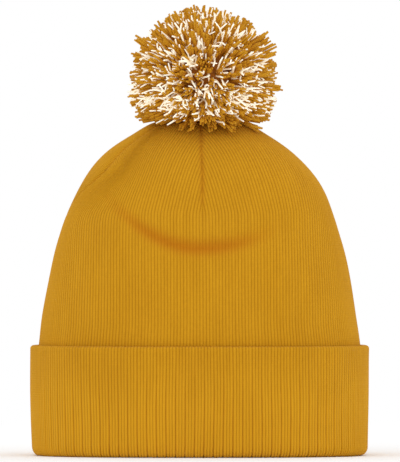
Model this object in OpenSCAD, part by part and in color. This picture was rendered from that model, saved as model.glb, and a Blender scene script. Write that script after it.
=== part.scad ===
// Cuffed knit beanie with a yarn pom-pom, standing open side down on its hem.
// The front faces -Y and the origin is the middle of the hem, on the surface it stands on.

/* [Body] */
// Outside width of the knitted body above the hem
body_w = 211; // [170:1:240]
// Outside depth of the knitted body above the hem
body_d = 150; // [120:1:200]
// Height from the hem to the top of the crown
body_h = 218; // [185:1:260]
// Height at which the sides start to draw in
side_h = 71; // [50:1:80]
// How far the sides lean in before the shoulder
side_lean = 12.5; // [5:0.5:20]
// How far the shoulder bend sits below the top of the crown
shoulder_drop = 36.5; // [10:0.5:60]
// Half width of the flattened top of the crown
crown_flat = 63.5; // [40:0.5:75]
// Squareness of the hat's oval as seen from above, where 2 is an ellipse
squareness = 2.6; // [2:0.1:3]

/* [Fabric] */
// Thickness of the outer knit
outer_t = 2.2; // [1.6:0.1:3]
// Thickness of the inner knit
lining_t = 2; // [1.4:0.1:3]
// Space between the two knits, which holds the seam allowances
layer_gap = 1.8; // [1.4:0.1:3]

/* [Cuff] */
// Height of the turned-up cuff
cuff_h = 72; // [55:0.5:80]
// Thickness of one layer of the cuff
cuff_t = 2.4; // [1.8:0.1:3]
// Rounding of the cuff's top edge
cuff_top_r = 2; // [1:0.1:2.2]
// Rounding of the hem fold
hem_r = 5; // [3:0.5:6]
// Rounding of the hem on the inside
hem_in_r = 1.6; // [0.5:0.1:2]
// Space between the cuff and the body inside it
cuff_clear = 0.35; // [0.3:0.05:0.8]

/* [Seams] */
// Width of a flattened seam allowance
seam_w = 5; // [3:0.5:8]
// Thickness of a seam allowance
seam_t = 1; // [0.6:0.1:1.2]
// Where the crown darts begin, from 0 at the side's top to 1 at the crown's top
dart_start = 0.45; // [0.2:0.05:0.7]
// Thickness of the gathering thread at the crown
gather_d = 1.4; // [1:0.1:1.8]
// Radius of the ring that the gathering thread draws
gather_r = 6; // [5:0.5:9]

/* [Pom-pom] */
// Diameter of the pom-pom
pom_d = 95; // [70:1:115]
// Height of the pom-pom's middle above the top of the crown
pom_rise = 29; // [24:1:45]
// Number of contrast tufts in the pom-pom
tuft_n = 26; // [12:1:40]
// Width of a contrast tuft at the pom-pom's surface
tuft_d = 13; // [8:0.5:15]
// Diameter of the tie yarn
tie_d = 3; // [2:0.1:4]
// Diameter of the knot that the pom-pom tilts on
knot_d = 4.6; // [4:0.1:6]
// Height of that knot's middle above the top of the crown
knot_rise = 5; // [4.5:0.5:8]
// Radius of the binding round the pom-pom's waist
binding_r = 6; // [4:0.5:9]
// Thickness of the binding
binding_d = 2.4; // [1.6:0.1:3]

/* [Care label] */
// Width of the care label
label_w = 30; // [20:1:36]
// Length of the care label
label_l = 40; // [25:1:44]
// Thickness of the folded care label
label_t = 0.8; // [0.6:0.1:1.2]
// Height of the label's sewn edge above the hem
label_z = 62; // [55:1:80]
// Space between the hanging label and the lining behind it
label_clear = 1.4; // [0.8:0.1:3]
// Number of stitches that hold the label
stitch_n = 7; // [3:1:11]

/* [Hidden] */

$fn = 96;
mustard = [0.77, 0.55, 0.13];
mustard_deep = [0.68, 0.46, 0.09];
cream = [1, 0.95, 0.84];

fit = 0.3;
outline_steps = 12;
oval_steps = 48;
arc_steps = 5;
half_w = body_w / 2;
half_d = body_d / 2;
fabric_in = outer_t + layer_gap + lining_t;

// The hem fold is one thickness of cuff knit, and both body knits stand just above it
rim_z = cuff_t + fit;
cuff_bore = -cuff_clear;
cuff_mid_in = cuff_bore - cuff_t;
cuff_mid_out = cuff_mid_in - fit;
cuff_out = cuff_mid_out - cuff_t;

// Seam allowances lie against the outer knit, and the lining's against the lining
seam_in = outer_t + (layer_gap - seam_t) / 2;
seam_break = 0.02;
side_seam_end = dart_start - seam_break;
dart_end = 1 - 1 / outline_steps;
back_turn = 90;
lining_dart_turn = 45;
lining_seam_turn = back_turn - 6;

// Gathering rings just above the crown and just under the lining, and the knot below them
crown_ring_gap = 0.1;
lining_ring_gap = 0.4;
anchor_gap = 1.1;
anchor_d = 2 * tie_d + 1;
anchor_z = body_h - fabric_in - gather_d - anchor_gap - anchor_d / 2;

pivot_z = body_h + knot_rise;
pom_z = body_h + pom_rise;
tie_clear = 0.35;
knot_clear = 0.4;
pom_lift = 1;
pom_under = pivot_z + pom_lift;
tie_end = pom_z - binding_r - binding_d / 2 - knot_clear;

// Tufts cover the ball down to this many radii below its top
tuft_band = 1.35;
tuft_bed = 2.8;
tuft_core = binding_r + binding_d / 2 + tuft_bed;
tuft_over = 5;
tuft_clear = 0.15;
golden_turn = 137.508;

stitch_d = 0.8;
stitch_margin = 2;

// ---- shapes shared by the knitted layers ----

// Power of a number that keeps the number's sign
function keep_sign(v, e) = sign(v) * pow(abs(v), e);

// Share of the half width and of the half depth at angle a round the oval
function oval_at(a) = [keep_sign(cos(a), 2 / squareness), keep_sign(sin(a), 2 / squareness)];

// Level direction along the oval at angle a
function oval_along(a) =
    let (e = 2 - 2 / squareness, v = [-half_w * keep_sign(sin(a), e), half_d * keep_sign(cos(a), e), 0])
        v / norm(v);

// Depth of the lining's inside at distance x from the middle
function lining_y(x) =
    (half_d - fabric_in) * pow(1 - pow(x / (half_w - fabric_in), squareness), 1 / squareness);

// Corner points of the outline's curve for a surface lying d inside the outer knit
function curve_pts(d) = [
    [half_w - d, side_h],
    [half_w - side_lean - d, body_h - shoulder_drop - d / 2],
    [crown_flat - d / 2, body_h - d],
    [0, body_h - d]
];

// Point at t along the curve with those four corners
function curve_at(p, t) =
    pow(1 - t, 3) * p[0] + 3 * pow(1 - t, 2) * t * p[1] + 3 * (1 - t) * t * t * p[2] + pow(t, 3) * p[3];

// Half width, half depth and height of a point on a level oval, d inside the outer knit
function level(d, z) = [half_w - d, half_d - d, z];

// The same for points from t0 to t1 along the crown's curve, d inside the outer knit
function crown(d, t0, t1, steps) =
    let (k = (half_d - d) / (half_w - d), corners = curve_pts(d))
        [for (i = [0 : steps])
            let (p = curve_at(corners, t0 + (t1 - t0) * i / steps)) [p[0], p[0] * k, p[1]]];

// The same for points on the crown's facets, at t0, t1 and each corner between them
function on_facets(d, t0, t1) =
    let (n = outline_steps, corners = crown(d, 0, 1, n))
        [for (t = [t0 * n, for (i = [floor(t0 * n) + 1 : ceil(t1 * n) - 1]) i, t1 * n])
            let (i = min(floor(t), n - 1)) corners[i] + (corners[i + 1] - corners[i]) * (t - i)];

// Rounded edge between two faces of a level oval, turned from angle a0 to a1 about its own middle
function edge_arc(d, z, r, a0, a1) = [
    for (i = [0 : arc_steps])
        let (a = a0 + (a1 - a0) * i / arc_steps) level(d - r * cos(a), z + r * sin(a))
];

function reversed(v) = [for (i = [len(v) - 1 : -1 : 0]) v[i]];

// Closed outline, given as half widths, half depths and heights, carried round the oval
module oval_ring(loop) {
    m = len(loop);
    points = [
        for (j = [0 : oval_steps - 1], p = loop)
            let (o = oval_at(360 * j / oval_steps)) [p[0] * o[0], p[1] * o[1], p[2]]
    ];
    faces = [
        for (j = [0 : oval_steps - 1], i = [0 : m - 1])
            let (j2 = (j + 1) % oval_steps, i2 = (i + 1) % m)
                [j * m + i, j * m + i2, j2 * m + i2, j2 * m + i]
    ];
    polyhedron(points, faces);
}

// Thin skin from the rim to the hole at the top, between two depths inside the outer knit
module skin(d_out, d_in) {
    hole_r = tie_d / 2 + tie_clear;
    last = 1 - 1 / outline_steps;
    oval_ring(concat(
        [level(d_out, rim_z)],
        crown(d_out, 0, last, outline_steps - 1),
        [[hole_r, hole_r, body_h - d_out], [hole_r, hole_r, body_h - d_in]],
        reversed(crown(d_in, 0, last, outline_steps - 1)),
        [level(d_in, rim_z)]
    ));
}

// Flat tape, one seam wide, along two matching lines on the hat at angle turn round the oval
module seam_tape(turn, line_out, line_in) {
    n = len(line_out);
    o = oval_at(turn);
    step = oval_along(turn) * seam_w / 2;
    points = [
        for (i = [0 : n - 1], q = [[line_out[i], -1], [line_out[i], 1], [line_in[i], 1], [line_in[i], -1]])
            [q[0][0] * o[0], q[0][1] * o[1], q[0][2]] + q[1] * step
    ];
    faces = concat(
        [[3, 2, 1, 0]],
        [for (i = [0 : n - 2], c = [0 : 3])
            [i * 4 + c, i * 4 + (c + 1) % 4, (i + 1) * 4 + (c + 1) % 4, (i + 1) * 4 + c]],
        [[for (c = [0 : 3]) (n - 1) * 4 + c]]
    );
    polyhedron(points, faces);
}

// Seam allowance of a dart, at angle turn round the oval
module dart_tape(turn) {
    seam_tape(
        turn,
        on_facets(seam_in, dart_start, dart_end),
        on_facets(seam_in + seam_t, dart_start, dart_end)
    );
}

// Seam allowance from the rim up to where the darts begin, at angle turn round the oval
module side_tape(turn) {
    seam_tape(
        turn,
        concat([level(seam_in, rim_z)], on_facets(seam_in, 0, side_seam_end)),
        concat([level(seam_in + seam_t, rim_z)], on_facets(seam_in + seam_t, 0, side_seam_end))
    );
}

// Ring of thread lying flat, with its middle at height z
module thread_ring(r, d, z) {
    translate([0, 0, z])
        rotate_extrude()
            translate([r, 0])
                circle(d = d, $fn = 32);
}

// ---- knitted body ----

module outer_shell() {
    color(mustard)
        skin(0, outer_t);
}

module lining_shell() {
    color(mustard_deep)
        skin(outer_t + layer_gap, fabric_in);
}

module front_dart_seam() {
    color(mustard_deep)
        dart_tape(-back_turn);
}

module back_dart_seam() {
    color(mustard_deep)
        dart_tape(back_turn);
}

module left_dart_seam() {
    color(mustard_deep)
        dart_tape(180);
}

module right_dart_seam() {
    color(mustard_deep)
        dart_tape(0);
}

module back_seam() {
    color(mustard_deep)
        side_tape(back_turn);
}

module lining_dart_seams() {
    color(mustard_deep)
        for (k = [0 : 3])
            dart_tape(lining_dart_turn + 90 * k);
}

module lining_back_seam() {
    color(mustard_deep)
        side_tape(lining_seam_turn);
}

module crown_gather_thread() {
    color(mustard_deep)
        thread_ring(gather_r, gather_d, body_h + gather_d / 2 + crown_ring_gap);
}

module lining_gather_thread() {
    color(mustard_deep)
        thread_ring(gather_r, gather_d, body_h - fabric_in - gather_d / 2 - lining_ring_gap);
}

// ---- turned-up cuff ----

// The outer layer folds over the top edge and turns in under the body at the hem
module cuff_outer_layer() {
    color(mustard)
        oval_ring(concat(
            edge_arc(fabric_in - hem_in_r, hem_in_r, hem_in_r, 180, 270),
            edge_arc(cuff_out + hem_r, hem_r, hem_r, 270, 360),
            edge_arc(cuff_out + cuff_top_r, cuff_h - cuff_top_r, cuff_top_r, 0, 90),
            [
                level(cuff_bore, cuff_h),
                level(cuff_bore, cuff_h - cuff_t),
                level(cuff_mid_out, cuff_h - cuff_t),
                level(cuff_mid_out, cuff_t),
                level(fabric_in, cuff_t)
            ]
        ));
}

module cuff_lining_ring() {
    top_z = cuff_h - cuff_t - fit;
    oval_ring([
        level(cuff_mid_in, rim_z),
        level(cuff_mid_in, top_z),
        level(cuff_bore, top_z),
        level(cuff_bore, rim_z)
    ]);
}

// Slot at the back where the cuff's seam allowance lies, clearance included
module cuff_seam_space(clear) {
    translate([-seam_w / 2 - clear, half_d / 2, 0])
        cube([seam_w + 2 * clear, body_d, cuff_h]);
}

module cuff_inner_layer() {
    color(mustard_deep)
        difference() {
            cuff_lining_ring();
            cuff_seam_space(fit);
        }
}

module cuff_back_seam() {
    color(mustard_deep)
        intersection() {
            cuff_lining_ring();
            cuff_seam_space(0);
        }
}

// ---- pom-pom and its tie ----

module pompom_anchor_knot() {
    top_z = pivot_z - knot_d / 2 - knot_clear;
    color(mustard_deep)
        translate([0, 0, anchor_z])
            union() {
                cylinder(h = top_z - anchor_z, d = tie_d);
                sphere(d = anchor_d);
            }
}

module pompom_tie_knot() {
    color(mustard_deep)
        translate([0, 0, pivot_z])
            sphere(d = knot_d);
}

module pompom_tie_tails() {
    start_z = pivot_z + knot_d / 2 + knot_clear;
    color(mustard_deep)
        translate([0, 0, start_z])
            cylinder(h = tie_end - start_z, d = tie_d);
}

// Ring round the waist of the yarn bundle, which runs front to back
module binding_ring(d) {
    translate([0, 0, pom_z])
        rotate([90, 0, 0])
            rotate_extrude()
                translate([binding_r, 0])
                    circle(d = d, $fn = 32);
}

module pompom_binding() {
    color(mustard_deep)
        binding_ring(binding_d);
}

// Ball of yarn, flat underneath and bored for the tie
module pom_ball() {
    difference() {
        translate([0, 0, pom_z])
            sphere(d = pom_d);
        translate([-pom_d, -pom_d, pom_under - pom_d])
            cube([2 * pom_d, 2 * pom_d, pom_d]);
        translate([0, 0, pivot_z])
            sphere(d = knot_d + 2 * knot_clear);
        translate([0, 0, pivot_z])
            cylinder(h = pom_z - pivot_z, d = tie_d + 2 * tie_clear);
    }
}

// Elevation of tuft i, from the top of the pom-pom down to a little below its middle
function tuft_rise(i) = asin(1 - tuft_band * (i + 0.5) / tuft_n);

// Tufts that run from near the pom-pom's middle to its surface, each grown by clear
module tuft_cones(clear) {
    reach = pom_d / 2 + tuft_over;
    r_end = (tuft_d / 2) * reach / (pom_d / 2) + clear;
    r_start = (tuft_d / 2) * tuft_core / (pom_d / 2) + clear;
    for (i = [0 : tuft_n - 1])
        translate([0, 0, pom_z])
            rotate([0, 90 - tuft_rise(i), golden_turn * i])
                translate([0, 0, tuft_core - clear])
                    cylinder(h = reach - tuft_core + clear, r1 = r_start, r2 = r_end);
}

module pompom_mustard_yarn() {
    color(mustard)
        difference() {
            pom_ball();
            binding_ring(binding_d + 2 * tie_clear);
            tuft_cones(tuft_clear);
        }
}

module pompom_white_yarn() {
    color(cream)
        intersection() {
            translate([0, 0, pom_z])
                sphere(d = pom_d);
            tuft_cones(0);
        }
}

// ---- care label inside the back of the lining ----

label_y = lining_y(label_w / 2) - label_t - label_clear;

module care_label() {
    color(cream)
        union() {
            translate([-label_w / 2, label_y, label_z - label_l])
                cube([label_w, label_t, label_l]);
            translate([-label_w / 2, label_y + label_t / 2, label_z])
                rotate([0, 90, 0])
                    cylinder(h = label_w, d = label_t);
        }
}

// Stitches just above the label's fold, which reach to the lining
module label_stitches() {
    gap = (label_w - 2 * stitch_margin) / (stitch_n - 1);
    stitch_z = label_z + label_t / 2 + fit + stitch_d / 2;
    color(cream)
        for (k = [0 : stitch_n - 1])
            translate([(k - (stitch_n - 1) / 2) * gap, label_y, stitch_z])
                rotate([-90, 0, 0])
                    cylinder(h = label_t + label_clear - fit, d = stitch_d);
}

outer_shell();
lining_shell();
cuff_outer_layer();
cuff_inner_layer();
cuff_back_seam();
front_dart_seam();
back_dart_seam();
left_dart_seam();
right_dart_seam();
back_seam();
lining_dart_seams();
lining_back_seam();
crown_gather_thread();
lining_gather_thread();
pompom_anchor_knot();
pompom_tie_knot();
pompom_tie_tails();
pompom_binding();
pompom_mustard_yarn();
pompom_white_yarn();
care_label();
label_stitches();
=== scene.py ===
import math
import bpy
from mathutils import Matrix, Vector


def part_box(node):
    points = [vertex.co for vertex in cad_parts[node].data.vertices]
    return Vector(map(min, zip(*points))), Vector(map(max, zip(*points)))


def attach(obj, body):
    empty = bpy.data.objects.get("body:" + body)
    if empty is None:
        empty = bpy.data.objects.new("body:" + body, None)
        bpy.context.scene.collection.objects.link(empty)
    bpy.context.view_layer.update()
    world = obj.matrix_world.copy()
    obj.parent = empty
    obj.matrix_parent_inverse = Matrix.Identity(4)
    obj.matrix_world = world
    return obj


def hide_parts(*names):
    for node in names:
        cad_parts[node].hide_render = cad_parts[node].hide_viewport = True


bl_info = {
    "name": "Knit beanie",
    "version": (1, 0, 0),
    "blender": (4, 5, 0),
    "location": "3D View > Sidebar > Beanie",
    "description": "Builds a cuffed double-knit beanie with a two-tone pom-pom round its packed frame",
    "category": "Object",
}

import bmesh
import bpy
import numpy as np
from bpy.props import FloatProperty, FloatVectorProperty, IntProperty, PointerProperty
from bpy.types import Operator, Panel, PropertyGroup
from mathutils import Vector

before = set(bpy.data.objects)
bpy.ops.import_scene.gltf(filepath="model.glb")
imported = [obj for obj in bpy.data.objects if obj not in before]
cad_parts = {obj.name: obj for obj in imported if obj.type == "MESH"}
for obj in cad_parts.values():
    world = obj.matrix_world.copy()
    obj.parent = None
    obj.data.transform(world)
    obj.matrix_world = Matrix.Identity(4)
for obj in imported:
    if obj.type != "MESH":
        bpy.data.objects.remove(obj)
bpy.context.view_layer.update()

SHELL_LOW, SHELL_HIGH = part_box("outer_shell")
CUFF_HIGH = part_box("cuff_outer_layer")[1]
POM_LOW, POM_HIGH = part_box("pompom_mustard_yarn")
LABEL_LOW, LABEL_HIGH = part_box("care_label")
KNOT_LOW, KNOT_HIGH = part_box("pompom_anchor_knot")

HALF_W = SHELL_HIGH.x
HALF_D = SHELL_HIGH.y
RIM_Z = SHELL_LOW.z
CROWN_Z = SHELL_HIGH.z
OVAL_K = HALF_D / HALF_W
# Power of the squarish oval that the hat makes from above, where 2 would be an ellipse.
SQUARENESS = 2.6
CUFF_OUT = CUFF_HIGH.x - HALF_W
POM_R = (POM_HIGH.x - POM_LOW.x) / 2
POM_Z = POM_HIGH.z - POM_R
SEED = 7
# Place of the back seams as a share of the way round from +X.
BACK_MIDDLE = 0.25


# ---- sizes and colours that a user would change ----


def length(name, description, default):
    return FloatProperty(name=name, description=description, default=default, unit="LENGTH", precision=5)


def colour(name, description, default):
    return FloatVectorProperty(name=name, description=description, default=default, size=3, subtype="COLOR")


class BodySizes(PropertyGroup):
    side_top: length("Side top", "Height at which the sides start to draw in", 0.070)
    side_lean: length("Side lean", "How far the sides lean in before the shoulder", 0.0125)
    shoulder_drop: length("Shoulder drop", "How far the shoulder bend sits below the crown", 0.0365)
    crown_flat: length("Crown flat", "Half width of the flattened top", 0.0635)
    outer_t: length("Outer knit", "Thickness of the outer knit", 0.0022)
    layer_gap: length("Layer gap", "Space between the two knits", 0.0018)
    lining_t: length("Inner knit", "Thickness of the inner knit", 0.0020)
    course: length("Course", "Height of one row of stitches", 0.0015)
    wale_relief: length("Wale relief", "Depth of the furrow between two wales", 0.00045)
    gore_wales: IntProperty(name="Wales per quarter", description="Wales between two darts", default=70)
    front_dart_z: length("Front dart", "Height at which the front and back darts begin", 0.1580)
    side_dart_z: length("Side dart", "Height at which the side darts begin", 0.0860)
    dart_depth: length("Dart depth", "How deep a dart draws the knit in", 0.0013)
    dart_width: length("Dart width", "Half width of a dart's furrow", 0.0016)
    fold_z: length("Fold height", "Height of the soft front fold at its lowest point", 0.1360)
    fold_depth: length("Fold depth", "Depth of the soft front fold", 0.0024)
    fold_width: length("Fold width", "Half width of the soft front fold", 0.0046)
    gather_puff: length("Gather puff", "How far the crown puffs up round the gather", 0.0032)
    puff_r: length("Puff radius", "How far from the middle the crown puffs up most", 0.029)
    gather_hole: length("Gather hole", "Length of knit drawn up under the gathering thread", 0.0018)
    pleat: length("Gather pleats", "Depth of the pleats round the gather", 0.0009)
    shoulder_full: length("Fuller shoulder", "How far the right shoulder stands out", 0.0018)
    dimple: length("Dimple", "Depth of the dimple at the foot of the front dart", 0.0012)
    low_crease: length("Low crease", "Depth of the lower crease at the back", 0.0018)
    high_crease: length("High crease", "Depth of the upper crease at the back", 0.0010)
    side_dent: length("Side dent", "Depth of the dent at each side", 0.0002)
    slack: length("Slack", "Depth of the slack knit's slow waves", 0.00045)


class CuffSizes(PropertyGroup):
    ribs: IntProperty(name="Ribs", description="Groups of three wales round the cuff", default=98)
    knit_t: length("Cuff knit", "Thickness of one layer of the cuff", 0.0024)
    clearance: length("Clearance", "Space between the cuff and the body", 0.00035)
    hem_r: length("Hem rounding", "Rounding of the folded hem", 0.0056)
    hem_in_r: length("Inner hem rounding", "Rounding of the hem on the inside", 0.0016)
    top_r: length("Top rounding", "Rounding of the cuff's top edge", 0.0022)
    channel: length("Channel depth", "Depth of the channel between two ribs at the hem", 0.00070)
    furrow: length("Furrow depth", "Depth of the furrow between two wales", 0.00036)
    draw_in: length("Draw in", "How far the cuff draws in towards the hem", 0.0012)
    seam: length("Back seam", "Half width and depth of the cuff's back seam", 0.0011)
    turned_edges: length("Turned edges", "Height of knit that the hem and the top edge take up", 0.008)


class PompomSizes(PropertyGroup):
    yarns: IntProperty(name="Yarns", description="Cut mustard yarns in the pom-pom", default=860)
    plies: IntProperty(name="Plies", description="Frayed plies in each mustard yarn", default=5)
    cream_yarns: IntProperty(name="Cream yarns", description="Cut cream yarns in the pom-pom", default=1600)
    reach: length("Reach", "Length of the yarns from the middle", 0.0485)
    ply_r: length("Ply radius", "Radius of a mustard ply", 0.00092)
    cream_r: length("Cream radius", "Radius of a cream yarn", 0.00058)
    fray: length("Fray", "How far the plies of a yarn spread at its cut end", 0.0012)
    core_r: length("Core radius", "Radius of the packed yarn inside", 0.0330)
    lean: FloatVectorProperty(
        name="Lean",
        description="How far the pom-pom leans over the crown",
        default=(0.0025, -0.006, -0.0018),
        size=3,
        subtype="TRANSLATION",
        unit="LENGTH",
    )


class LabelSizes(PropertyGroup):
    ribbon_t: length("Ribbon thickness", "Thickness of the label's ribbon", 0.00028)
    curl: length("Ribbon curl", "How far the label's loose end curls", 0.0003)
    tail: length("Tie tail", "Length of the tie's cut ends under its anchor knot", 0.011)


class Colours(PropertyGroup):
    yarn: colour("Yarn", "Mustard yarn in the light", (0.580, 0.276, 0.0085))
    # Painted shade: the mustard as it looks in the shade of the furrows and grooves.
    yarn_painted_shade: colour("Yarn in furrows", "Mustard yarn between the wales", (0.390, 0.155, 0.0022))
    yarn_light: colour("Yarn highlight", "Loose fibres on the wales", (0.700, 0.350, 0.0130))
    pompom_yarn: colour("Pom-pom yarn", "Mustard yarn of the pom-pom", (0.520, 0.222, 0.0060))
    pompom_light: colour("Pom-pom highlight", "Palest mustard yarn of the pom-pom", (0.660, 0.330, 0.0180))
    # Painted shade: the mustard deep in the pom-pom, where the roots lie in shade; the packed core is
    # painted in it too.
    pompom_root_shade: colour("Pom-pom root", "Mustard yarn deep in the pom-pom", (0.420, 0.135, 0.0030))
    cream: colour("Cream", "Cream yarn of the pom-pom", (1.0, 0.93, 0.78))
    ribbon: colour("Ribbon", "Blank care label", (0.84, 0.82, 0.76))
    floor: colour("Floor", "Pale floor", (0.95, 0.95, 0.95))


class StageSizes(PropertyGroup):
    frame_height: length("Frame height", "Height that the camera takes in", 0.3026)
    camera_x: length("Camera shift", "How far the camera stands to the right", 0.0003)
    camera_z: length("Camera height", "Height of the camera", 0.1467)
    distance: length("Camera distance", "Distance from the camera to the hat", 6.0)
    floor_r: length("Floor radius", "Radius of the round floor", 30.0)
    key: FloatProperty(name="Key light", description="Power of the front light, in watts", default=9.0)
    fill: FloatProperty(name="Fill light", description="Power of the side lights, in watts", default=4.0)
    sky: FloatProperty(name="Sky", description="Strength of the even light from all round", default=1.0)


def body_sizes():
    return bpy.context.scene.beanie_body


def cuff_sizes():
    return bpy.context.scene.beanie_cuff


def pompom_sizes():
    return bpy.context.scene.beanie_pompom


def colours():
    return bpy.context.scene.beanie_colours


# ---- shader arithmetic ----


class Value:
    """A shader socket that takes part in Python arithmetic."""

    def __init__(self, finish, socket):
        self.finish = finish
        self.socket = socket

    def math(self, operation, *others):
        values = {i: v for i, v in enumerate((self, *others))}
        return self.finish.node("ShaderNodeMath", {"operation": operation}, values)

    def __add__(self, other):
        return self.math("ADD", other)

    def __sub__(self, other):
        return self.math("SUBTRACT", other)

    def __rsub__(self, other):
        return (self * -1.0) + other

    def __mul__(self, other):
        return self.math("MULTIPLY", other)

    def __truediv__(self, other):
        return self.math("DIVIDE", other)

    def __pow__(self, other):
        return self.math("POWER", other)

    def fraction(self):
        return self.math("FRACT")

    def size(self):
        return self.math("ABSOLUTE")

    def clamped(self):
        return self.math("MINIMUM", 1.0).math("MAXIMUM", 0.0)


class Finish:
    """A procedural material while it is put together."""

    def __init__(self, name, roughness, sheen, specular):
        self.material = bpy.data.materials.new(name)
        self.material.use_nodes = True
        self.tree = self.material.node_tree
        self.tree.nodes.clear()
        output = self.tree.nodes.new("ShaderNodeOutputMaterial")
        self.shader = self.tree.nodes.new("ShaderNodeBsdfPrincipled")
        self.shader.inputs["Roughness"].default_value = roughness
        self.shader.inputs["Sheen Weight"].default_value = sheen
        self.shader.inputs["Sheen Roughness"].default_value = 0.6
        self.shader.inputs["Specular IOR Level"].default_value = specular
        self.tree.links.new(self.shader.outputs[0], output.inputs["Surface"])

    def node(self, kind, settings=None, inputs=None, output=0):
        made = self.tree.nodes.new(kind)
        for key, value in (settings or {}).items():
            setattr(made, key, value)
        for key, value in (inputs or {}).items():
            self.feed(made.inputs[key], value)
        return Value(self, made.outputs[output])

    def feed(self, socket, value):
        if isinstance(value, Value):
            self.tree.links.new(value.socket, socket)
        elif hasattr(value, "__len__") and socket.type == "RGBA":
            socket.default_value = (*value[:3], 1.0)
        else:
            socket.default_value = value

    def mix(self, factor, low, high):
        settings = {"data_type": "RGBA"}
        return self.node("ShaderNodeMix", settings, {0: factor, 6: low, 7: high}, output=2)

    def split(self, vector):
        return [self.node("ShaderNodeSeparateXYZ", None, {0: vector}, output=i) for i in range(3)]

    def noise(self, vector, scale, detail):
        inputs = {"Vector": vector, "Scale": scale, "Detail": detail}
        return self.node("ShaderNodeTexNoise", None, inputs)

    def noise_along(self, across, along):
        spot = self.node("ShaderNodeCombineXYZ", None, {"X": across, "Y": along})
        return self.noise(spot, 1.0, 2.0)

    def place(self):
        return self.node("ShaderNodeTexCoord", output="Object")

    def knit_map(self):
        return self.split(self.node("ShaderNodeUVMap", {"uv_map": "knit"}))

    def bump(self, height, distance, strength):
        inputs = {"Height": height, "Distance": distance, "Strength": strength}
        return self.node("ShaderNodeBump", None, inputs)

    def finish(self, base, normal=None):
        self.feed(self.shader.inputs["Base Color"], base)
        if normal is not None:
            self.feed(self.shader.inputs["Normal"], normal)
        return self.material


def knit_finish(name, shade=1.0, rib=0):
    """Rows of V stitches up each wale, darker in the furrows by painted shade, with loose fibres on top."""
    tone = colours()
    look = Finish(name, roughness=0.95, sheen=0.04, specular=0.05)
    wale, course, _ = look.knit_map()
    # The mesh's mask holds painted shade along the front fold and the darts, and how low on the cuff each
    # point lies.
    fold, low, _ = look.split(look.node("ShaderNodeAttribute", {"attribute_name": "painted_shading"}))
    place = look.place()
    # Two legs lean to the middle of each wale, one V to a row of stitches.
    across = (wale.fraction() - 0.5).size() * 2.0
    lean = (course - across * 0.55).fraction()
    leg = 1.0 - (lean * 2.0 - 1.0).size()
    middle = 1.0 - (1.0 - across * 2.4).clamped() * 0.35
    edge = (1.0 - across ** 4.0) * middle
    # Fibres, slow drifts of tone, single stitches and whole wales each vary on their own scale.
    fibre = look.noise(place, 2600.0, 3.0)
    drift = look.noise(place, 26.0, 2.0)
    speck = look.noise(place, 620.0, 1.0)
    streak = look.noise_along(wale * 0.9, course * 0.045)
    height = edge * 0.55 + (leg * edge) * 0.45 + fibre * 0.18
    # Painted shade between the wales and between the legs of each stitch.
    furrow = (across ** 3.0) * 0.55 + (1.0 - leg) * 0.14
    if rib:
        channel = ((wale / float(rib)).fraction() - 0.5).size() * 2.0
        # Painted shade in the furrows and in the channels between ribs; the channels' shade grows towards
        # the hem, where the ribs open.
        furrow = furrow * (1.2 - low * 0.25) + ((channel - 0.80) * 5.0).clamped() * low * 0.20
    deep = [c * shade for c in tone.yarn_painted_shade]
    plain = [c * shade for c in tone.yarn]
    light = [c * shade for c in tone.yarn_light]
    # Painted shade colour for the fold: a deeper, redder copy of the furrow colour.
    fold_shade = [deep[0] * 1.25, deep[1] * 1.02, deep[2] * 1.6]
    if rib:
        # Painted light: the cuff is lightened towards the hem, to offset the shade near the floor.
        plain = look.mix((low - 0.35).clamped() * 0.9, plain, light)
    lit = look.mix((speck * 0.8 + streak * 0.6 - 0.50).clamped(), plain, light)
    # Painted shade in the furrows, mixed with slow random drifts of tone.
    furrow_shaded = look.mix((furrow + (drift - 0.5) * 0.40 + (0.5 - streak) * 0.25).clamped(), lit, deep)
    # Painted shade along the soft front fold and the darts.
    base = look.mix((fold * 0.85).clamped(), furrow_shaded, fold_shade)
    return look.finish(base, look.bump(height, 0.0004, 0.8))


def yarn_finish(name, plain, deep, light, glow):
    """Cut yarn: deeper towards its root by painted shade, each yarn a little different, with fine plies."""
    look = Finish(name, roughness=0.9, sheen=0.05, specular=0.10)
    along, chance, _ = look.split(look.node("ShaderNodeAttribute", {"attribute_name": "yarn"}))
    place = look.place()
    fibre = look.noise(place, 1900.0, 3.0)
    # Painted shade: the yarn darkens towards its root, deep in the pom-pom.
    root = (1.0 - along * 1.25).clamped()
    tip = look.mix((chance * 0.9 + (fibre - 0.5) * 0.7).clamped(), plain, light)
    base = look.mix(root, tip, deep)
    # The loose yarns glow faintly in their own colour: painted fill light that keeps the shade between them
    # warm.
    look.feed(look.shader.inputs["Emission Color"], base)
    look.shader.inputs["Emission Strength"].default_value = glow
    return look.finish(base, look.bump(fibre, 0.0003, 0.6))


def thread_finish(name, plain, deep):
    """Twisted sewing or tie yarn."""
    look = Finish(name, roughness=0.85, sheen=0.2, specular=0.22)
    place = look.place()
    x, y, z = look.split(place)
    twist = ((x + y) * 420.0 + z * 640.0).math("SINE") * 0.5 + 0.5
    fibre = look.noise(place, 2400.0, 3.0)
    # Painted shade: darker in the twist's grooves.
    base = look.mix((twist * 0.6 + fibre * 0.4).clamped(), deep, plain)
    return look.finish(base, look.bump(twist + fibre * 0.5, 0.0002, 0.7))


def ribbon_finish(name, plain):
    """Fine plain-weave ribbon, blank."""
    look = Finish(name, roughness=0.7, sheen=0.15, specular=0.3)
    place = look.place()
    x, _, z = look.split(place)
    weave = (x * 9000.0).math("SINE") * (z * 9000.0).math("SINE")
    drift = look.noise(place, 60.0, 2.0)
    worn = [c * 0.86 for c in plain]
    base = look.mix((drift * 0.6 + weave * 0.12).clamped(), plain, worn)
    return look.finish(base, look.bump(weave, 0.00006, 0.5))


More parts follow.
